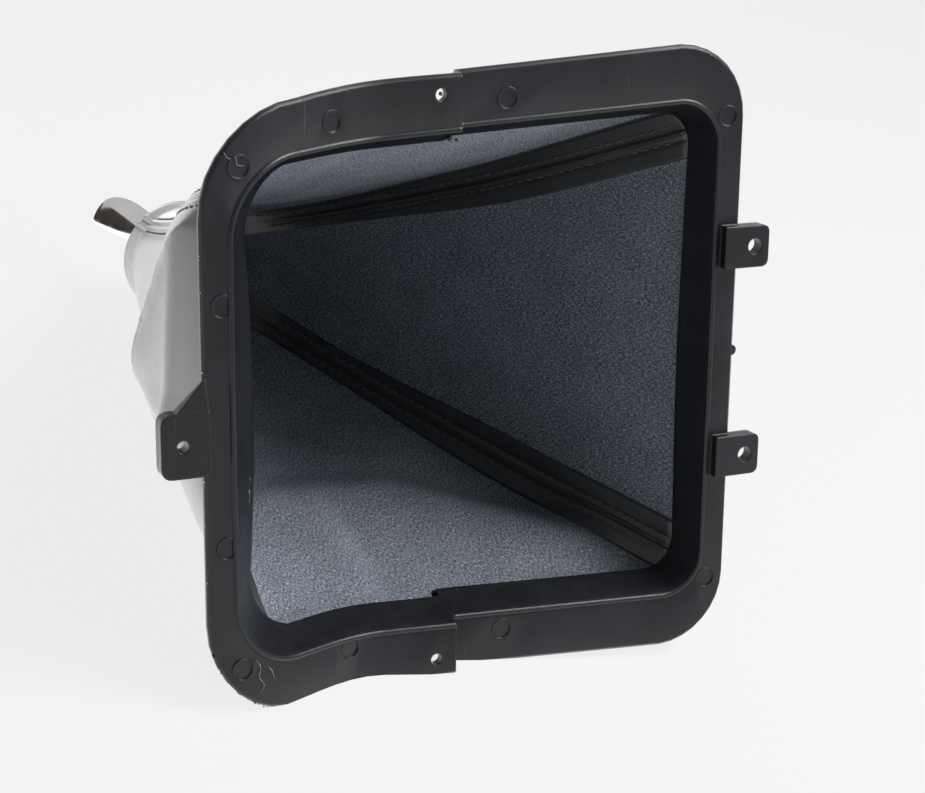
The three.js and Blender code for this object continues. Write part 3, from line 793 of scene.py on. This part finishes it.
# Plated collar: a skirt in the neck, a lip over the leather's edge and two tongues, in mm
collar = {
    "wall": 1.6, "skirt": 11.0, "lip": -0.75, "lipHeight": 0.9, "lipSwell": 0.15,
    "crown": 2.2, "tongue": 23.0, "flare": 6.9, "flareCurve": 1.25, "root": -1.3,
    "angle": 206.0, "steep": 7.0, "soft": 30.0, "steepPower": 8.0, "softPower": 3.0,
    "edgeRound": 0.5, "edgeRows": 6, "lipRows": 6, "crownRows": 26, "crownFoot": 0.2,
    "bevel": 0.2, "slack": 0.1, "shoulder": 0.3,
    "steepColumns": 26, "softColumns": 60, "restColumns": 48,
}


def tongueShare(turned):
    steep = turned < 0
    side = min(1.0, -turned / collar["steep"] if steep else turned / collar["soft"])
    return math.sqrt(1 - side ** (collar["steepPower"] if steep else collar["softPower"]))


def collarTurns():
    steep = -collar["steep"] * np.cos(np.linspace(0, math.pi / 2, collar["steepColumns"],
                                                  endpoint=False))
    soft = collar["soft"] * np.sin(np.linspace(0, math.pi / 2, collar["softColumns"]))
    rest = np.linspace(collar["soft"], 180 - collar["steep"], collar["restColumns"] + 2)[1:-1]
    half = np.concatenate([steep, soft, rest])
    return [(t, collar["angle"] + t + other) for other in (0, 180) for t in half]


def makeCollar():
    base = sleeve["neckZ"] + sleeve["glueGap"]
    foot = sleeve["neckZ"] - collar["skirt"]
    skirt = (sleeve["neckRadius"] - sleeve["neckPinch"] - sleeve["thickness"]
             - collar["slack"])
    lipRadius = sleeve["neckRadius"] + collar["lip"]
    points = []
    turns = collarTurns()
    for turned, degrees in turns:
        rise = collar["crown"] + (collar["tongue"] - collar["crown"]) * tongueShare(turned)

        def crownRadius(height):
            bend = (height / collar["tongue"]) ** collar["flareCurve"]
            return sleeve["neckRadius"] + collar["root"] + collar["flare"] * bend
        profile = [
            (skirt - collar["wall"], foot + collar["bevel"]), (skirt - collar["wall"] / 2, foot),
            (skirt - collar["slack"], foot + collar["bevel"]),
            (skirt, base - collar["shoulder"]), (skirt + collar["shoulder"], base)]
        for k in range(collar["lipRows"] + 1):
            a = -math.pi / 2 + math.pi * k / collar["lipRows"]
            profile.append((lipRadius + collar["lipSwell"] * math.cos(a),
                            base + collar["lipHeight"] / 2 * (1 + math.sin(a))))
        heights = np.linspace(collar["lipHeight"] + collar["crownFoot"],
                              rise - collar["edgeRound"], collar["crownRows"])
        profile += [(crownRadius(h), base + h) for h in heights]
        middle = crownRadius(rise) - collar["wall"] / 2
        for k in range(1, collar["edgeRows"]):
            a = math.pi * k / collar["edgeRows"]
            profile.append((middle + collar["wall"] / 2 * math.cos(a),
                            base + rise - collar["edgeRound"] * (1 - math.sin(a))))
        profile += [(crownRadius(h) - collar["wall"], base + h) for h in heights[::-1]]
        a = math.radians(degrees)
        points += [(sleeve["neckX"] + r * math.cos(a), r * math.sin(a), z) for r, z in profile]
    faces = tubeFaces(0, len(turns), len(points) // len(turns), True)
    return meshPiece("plated_collar", points, faces, [polishedPlating])


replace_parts(makeCollar(), "neck_collar")
print("collar plated")

# Frame: the moulded node itself, its round work smoothed and its arrises kept
arrises = {"weld": 0.00001, "angle": 26.0}  # metres, degrees
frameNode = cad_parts["gaiter_frame"]
frameNode.data.materials.clear()
frameNode.data.materials.append(satinPlastic)
frameNode.data.polygons.foreach_set("use_smooth", [True] * len(frameNode.data.polygons))
weld = frameNode.modifiers.new("weld", "WELD")
weld.merge_threshold = arrises["weld"]
split = frameNode.modifiers.new("arrises", "EDGE_SPLIT")
split.split_angle = math.radians(arrises["angle"])
frameNode.data.update()


# Rounded bead of the moulding where the flange turns up into the wall, in mm
bead = {"outward": 1.0, "lift": 0.35, "radius": 0.8, "sides": 12}


def makeBead():
    points = []
    sides = bead["sides"]
    for lip, out in zip(lipLine, railOut):
        for q in range(sides):
            a = 2 * math.pi * q / sides
            flat = lip + out * (bead["outward"] + bead["radius"] * math.cos(a))
            under = undersideZ(lip[0] + out[0] * bead["outward"])
            points.append((*flat, under + bead["lift"] - bead["radius"] * math.sin(a)))
    return meshPiece("lip_bead", points, tubeFaces(0, legs, sides, True), [satinPlastic])


makeBead()

# Witness rings that the ejector pins left around the ten round marks, in mm
marks = {
    "radius": 2.5, "thickness": 0.23, "sunk": 0.06, "around": 40, "sides": 6,
    "places": ((-31.2, -63), (-26.7, 60.2), (-55.5, -56.1), (-56.6, 55.9), (-59.8, -26.9),
               (-59.6, 27), (14.8, -65.2), (15.6, 64.4), (73.3, -58.5), (72.8, 59.2)),
}


def makeRings():
    points, faces = [], []
    around, sides = marks["around"], marks["sides"]
    for x, y in marks["places"]:
        base = len(points)
        for i in range(around):
            turn = 2 * math.pi * i / around
            for q in range(sides):
                a = 2 * math.pi * q / sides
                r = marks["radius"] + marks["thickness"] * math.cos(a)
                px, py = x + r * math.cos(turn), y + r * math.sin(turn)
                points.append((px, py, undersideZ(px) + marks["sunk"]
                               - marks["thickness"] * math.sin(a)))
        faces += tubeFaces(base, around, sides, True)
    return meshPiece("pin_rings", points, faces, [satinPlastic])


makeRings()


# Loose fibres and pale scratches lying on the moulding, as points in mm; a height of 0 stands
# for the flange's underside
fibres = {
    "radius": 0.045, "proud": 0.05, "sides": 6, "steps": 8, "endTaper": 0.06, "fullness": 0.4,
    "cornerHair": ((-58.9, -59.4, 0), (-57.8, -58.0, 0), (-56.3, -58.2, 0), (-55.9, -56.6, 0),
                   (-54.3, -56.2, 0)),
    "wallHair": ((-51.5, 14.6, -9.8), (-50.8, 15.6, -8.6), (-50.7, 17.0, -8.2),
                 (-51.4, 18.0, -9.4), (-51.0, 19.4, -8.7), (-51.6, 20.6, -9.7)),
    "cornerScratch": ((-53.2, 54.6, 0), (-52.2, 56.4, 0), (-52.6, 58.6, 0), (-51.4, 60.8, 0),
                      (-52.2, 62.6, 0)),
    "shortScratch": ((-50.2, 56.8, 0), (-49.2, 58.2, 0), (-48.6, 60.2, 0)),
}


def makeFibre(name, spots):
    spots = np.array([(x, y, undersideZ(x) - fibres["proud"] if z == 0 else z)
                      for x, y, z in spots])
    fineAt = np.linspace(0, len(spots) - 1, fibres["steps"] * len(spots))
    line = np.column_stack([smoothCurve(np.arange(len(spots)), spots[:, k], fineAt)
                            for k in range(3)])
    points = []
    sides = fibres["sides"]
    for i, centre in enumerate(line):
        ahead = line[min(i + 1, len(line) - 1)] - line[max(i - 1, 0)]
        ahead /= np.linalg.norm(ahead)
        side = np.cross(ahead, (0, 0, 1))
        side /= np.linalg.norm(side)
        rise = np.cross(side, ahead)
        share = fibres["endTaper"] + (1 - 2 * fibres["endTaper"]) * i / (len(line) - 1)
        taper = fibres["radius"] * math.sin(math.pi * share)**fibres["fullness"]
        for q in range(sides):
            a = 2 * math.pi * q / sides
            points.append(centre + taper * (side * math.cos(a) + rise * math.sin(a)))
    return meshPiece(name, points, tubeFaces(0, len(line), sides, False), [paleLint])


for name in ("cornerHair", "wallHair", "cornerScratch", "shortScratch"):
    makeFibre(name, fibres[name])


# Small uneven lumps: pale specks along the single-tab edge, dark crumbs of flash on the lip
flash = {
    "specks": 16, "edgeFrom": -44.0, "edgeTo": 52.0, "speckSize": (0.1, 0.24),
    "speckRise": (0.1, 1.2), "proud": 0.02,
    "burrs": 16, "burrSize": (0.1, 0.28), "burrRise": (0.1, 0.8), "corner": (95, 178),
    "crumbs": (((-1.7, -57.4, -4.6), 0.7), ((0.2, -57.0, -4.2), 0.45), ((1.7, 56.6, 9.8), 0.8),
               ((3.2, 56.2, 9.6), 0.6), ((7.3, 56.6, 9.4), 0.7), ((5.4, 56.5, 9.9), 0.4)),
    "holeLint": ((-3.5, -67.3, -3.6), 0.55), "rows": 4, "sides": 6, "uneven": (0.7, 1.2),
}


def lumps(name, spots, material):
    points, faces = [], []
    for centre, size in spots:
        base = len(points)
        rows, sides = flash["rows"], flash["sides"]
        for i in range(1, rows):
            polar = math.pi * i / rows
            for q in range(sides):
                a = 2 * math.pi * q / sides
                r = size * chance.uniform(*flash["uneven"])
                points.append((centre[0] + r * math.sin(polar) * math.cos(a),
                               centre[1] + r * math.sin(polar) * math.sin(a),
                               centre[2] + r * math.cos(polar)))
        points += [(centre[0], centre[1], centre[2] + size),
                   (centre[0], centre[1], centre[2] - size)]
        topPoint, lowPoint = base + (rows - 1) * sides, base + (rows - 1) * sides + 1
        for q in range(sides):
            over = (q + 1) % sides
            faces.append((topPoint, base + q, base + over))
            for i in range(rows - 2):
                a = base + i * sides
                faces.append((a + q, a + sides + q, a + sides + over, a + over))
            last = base + (rows - 2) * sides
            faces.append((last + q, lowPoint, last + over))
    return meshPiece(name, points, faces, [material])


edgeSpots = []
for _ in range(flash["specks"]):
    y = chance.uniform(flash["edgeFrom"], flash["edgeTo"])
    x = rail["narrowEndX"] - flash["proud"]
    edgeSpots.append(((x, y, undersideZ(x) + chance.uniform(*flash["speckRise"])),
                      chance.uniform(*flash["speckSize"])))
edgeSpots.append(flash["holeLint"])
lumps("edge_specks", edgeSpots, paleLint)
cornerBurrs = []
for _ in range(flash["burrs"]):
    a = math.radians(chance.uniform(*flash["corner"]))
    r = rail["narrowCornerRadius"]
    x = narrowCornerX + r * math.cos(a)
    y = outerY(narrowCornerX) - r + r * math.sin(a)
    cornerBurrs.append(((x, y, undersideZ(x) + chance.uniform(*flash["burrRise"])),
                        chance.uniform(*flash["burrSize"])))
lumps("moulding_flash", cornerBurrs + list(flash["crumbs"]), satinPlastic)
print("frame finished")


# Camera of the photograph, in mm from the flange: its right and its line of sight
photo = {
    "width": 925, "focal": 2041.0, "place": (-185.4, -124.2, -420.5),
    "right": (0.9127, -0.0117, -0.4084), "away": (0.3963, 0.2682, 0.8781), "sensor": 36.0,
}
camera = placed("camera", bpy.data.cameras.new("camera"))
camera.data.sensor_width = photo["sensor"]
camera.data.sensor_fit = "HORIZONTAL"
camera.data.lens = photo["focal"] * camera.data.sensor_width / photo["width"]
camera.data.clip_start = 0.01
away = toRowDirection(photo["away"])
right = toRowDirection(photo["right"])
up = right.cross(away)
right = away.cross(up)
turn = Matrix((right, up, -away)).transposed().to_4x4()
camera.matrix_world = Matrix.Translation(Vector(toRow(photo["place"]))) @ turn
bpy.context.scene.camera = camera

def squareCorners(centre, facing, half):
    aside = facing.orthogonal().normalized()
    along = facing.cross(aside)
    return [centre + (aside * x + along * y) * half for x, y in (
        (-1, -1), (1, -1), (1, 1), (-1, 1))]


# Table that the gaiter lies on in the photograph, on its left long side
table = {"normal": (0.147, -0.948, -0.283), "touch": (-55.2, 66.9, -17.6), "size": 6.0,
         "white": 0.885, "shine": 1.6, "shadow": 0.07}
floorMesh = bpy.data.meshes.new("table")
floorMesh.from_pydata(squareCorners(Vector(toRow(table["touch"])),
                                    toRowDirection(table["normal"]), table["size"] / 2),
                      [], [(0, 1, 2, 3)])
floor = placed("table", floorMesh)


# The table shows white to the eye and to reflections, keeps the shadow, and is open from below
def makeTableTop():
    material = bpy.data.materials.new("whiteTable")
    material.use_nodes = True
    nodes, links = material.node_tree.nodes, material.node_tree.links
    nodes.clear()
    output = addNode(nodes, "ShaderNodeOutputMaterial")
    place = objectPlace(nodes)
    tone = ramp(nodes, links, noise(nodes, links, place, 6, 2), [
        (0.2, grey(0.79)), (0.8, grey(0.81))])
    card = addNode(nodes, "ShaderNodeBsdfDiffuse")
    links.new(tone, card.inputs["Color"])
    glow = addNode(nodes, "ShaderNodeEmission", Strength=1.0)
    glow.inputs["Color"].default_value = grey(table["white"])
    path = addNode(nodes, "ShaderNodeLightPath").outputs
    links.new(spread(nodes, links, path["Is Glossy Ray"], 1.0,
                     table["shine"] / table["white"], 0, 1), glow.inputs["Strength"])
    seen = spread(nodes, links, path["Is Camera Ray"], 0.0, 1 - table["shadow"], 0, 1)
    share = calc(nodes, links, "MAXIMUM", seen, path["Is Glossy Ray"])
    top = addNode(nodes, "ShaderNodeMixShader")
    links.new(share, top.inputs["Fac"])
    links.new(card.outputs[0], top.inputs[1])
    links.new(glow.outputs[0], top.inputs[2])
    clear = addNode(nodes, "ShaderNodeBsdfTransparent")
    side = addNode(nodes, "ShaderNodeMixShader")
    links.new(addNode(nodes, "ShaderNodeNewGeometry").outputs["Backfacing"], side.inputs["Fac"])
    links.new(top.outputs[0], side.inputs[1])
    links.new(clear.outputs[0], side.inputs[2])
    links.new(side.outputs[0], output.inputs["Surface"])
    return material


floorMesh.materials.append(makeTableTop())

# Soft studio light: one lamp over the table, one in front of it and a broad weak one at the
# left, each as its place in mm, its size in m and its power; then the white room itself
studio = {"over": ((500, -540, -240), 0.4, 9.5), "front": ((500, 120, -540), 0.36, 6.0),
          "left": ((-640, -20, -20), 0.6, 2.5), "aim": (0, 0, 40), "sky": 0.14,
          "seenSky": 0.885, "mirrorSky": 0.7}


def makeLamp(name, place, size, power):
    data = bpy.data.lights.new(name, "AREA")
    data.size = size
    data.energy = power
    lamp = placed(name, data)
    lamp.location = Vector(toRow(place))
    aim = Vector(toRow(studio["aim"])) - lamp.location
    lamp.rotation_euler = aim.to_track_quat("-Z", "Y").to_euler()
    return lamp


makeLamp("overLamp", *studio["over"])
makeLamp("frontLamp", *studio["front"]).visible_glossy = False
makeLamp("leftLamp", *studio["left"]).visible_glossy = False

# Dark card beyond the collar, seen only as a reflection; its place in mm, half its width in m
darkCard = {"place": (-248, -78, 388), "half": 0.075, "dark": 0.01,
            "pale": (0.03, 0.02, 0.012, 1)}


def makeCardMaterial():
    material, nodes, links, shader = newMaterial("darkCloth")
    place = objectPlace(nodes)
    links.new(ramp(nodes, links, noise(nodes, links, place, 60), [
        (0.3, grey(darkCard["dark"])), (0.7, darkCard["pale"])]),
        shader.inputs["Base Color"])
    shader.inputs["Roughness"].default_value = 0.9
    return material


cardSpot = Vector(toRow(darkCard["place"]))
facing = (Vector(toRow((sleeve["neckX"], 0, sleeve["neckZ"]))) - cardSpot).normalized()
cardMesh = bpy.data.meshes.new("darkCard")
cardMesh.from_pydata(squareCorners(cardSpot, facing, darkCard["half"]), [], [(0, 1, 2, 3)])
cardMesh.materials.append(makeCardMaterial())
card = placed("darkCard", cardMesh)
for way in ("visible_camera", "visible_diffuse", "visible_shadow", "visible_transmission"):
    setattr(card, way, False)

world = bpy.data.worlds.new("studio")
bpy.context.scene.world = world
world.use_nodes = True
skyNodes, skyLinks = world.node_tree.nodes, world.node_tree.links
skyNodes.clear()
skyOut = addNode(skyNodes, "ShaderNodeOutputWorld")
rays = addNode(skyNodes, "ShaderNodeLightPath").outputs
seenRay = calc(skyNodes, skyLinks, "MAXIMUM", rays["Is Camera Ray"],
               rays["Is Transmission Ray"])
skyTones = [spread(skyNodes, skyLinks, ray, studio["sky"], studio[tone], 0, 1)
            for ray, tone in ((seenRay, "seenSky"), (rays["Is Glossy Ray"], "mirrorSky"))]
skyLight = addNode(skyNodes, "ShaderNodeBackground")
skyLinks.new(calc(skyNodes, skyLinks, "MAXIMUM", *skyTones), skyLight.inputs["Strength"])
skyLinks.new(skyLight.outputs[0], skyOut.inputs["Surface"])

bpy.context.scene.view_settings.view_transform = "Standard"
bpy.context.view_layer.update()
print("stage set")
